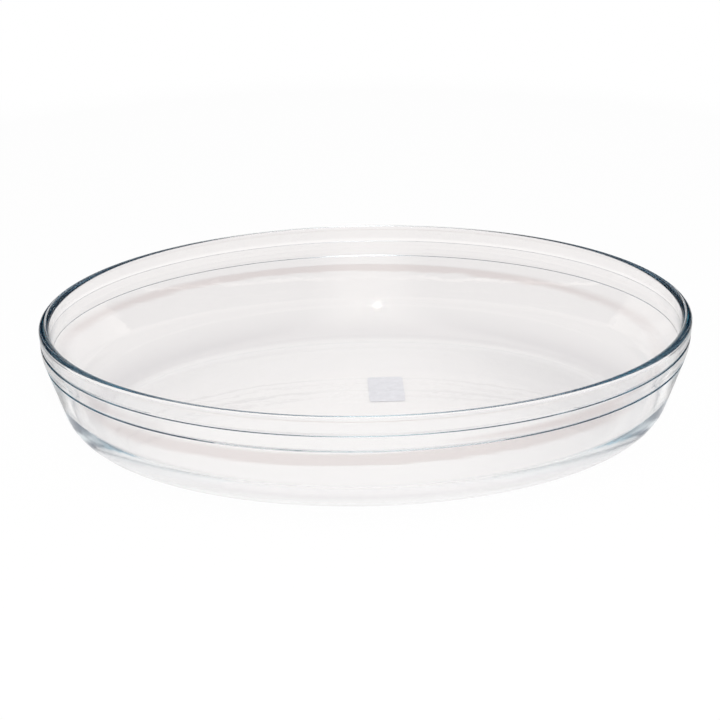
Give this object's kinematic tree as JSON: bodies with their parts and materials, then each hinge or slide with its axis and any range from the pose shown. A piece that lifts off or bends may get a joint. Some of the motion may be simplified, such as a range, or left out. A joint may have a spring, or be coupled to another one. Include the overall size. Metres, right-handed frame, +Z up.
{
  "type": "oval baking dish",
  "caption": "Clear pressed-glass oval baking dish with a full-round rim, stepped collar, leaning wall, rounded heel and flat bearing ring, for oven cooking and serving.",
  "frame": {"origin": "middle of the bearing ring, on the plane that the dish stands on", "axes": "+X along the dish's length, +Y across its width, +Z up through its open mouth"},
  "size_m": [0.35, 0.24, 0.065],
  "materials": {
    "clear_glass": "fire-polished clear pressed glass",
    "label_paper": "plain uncoated paper, blank"
  },
  "bodies": {
    "root": {"glass_dish": "clear_glass", "base_label": "label_paper"}
  },
  "joints": []
}
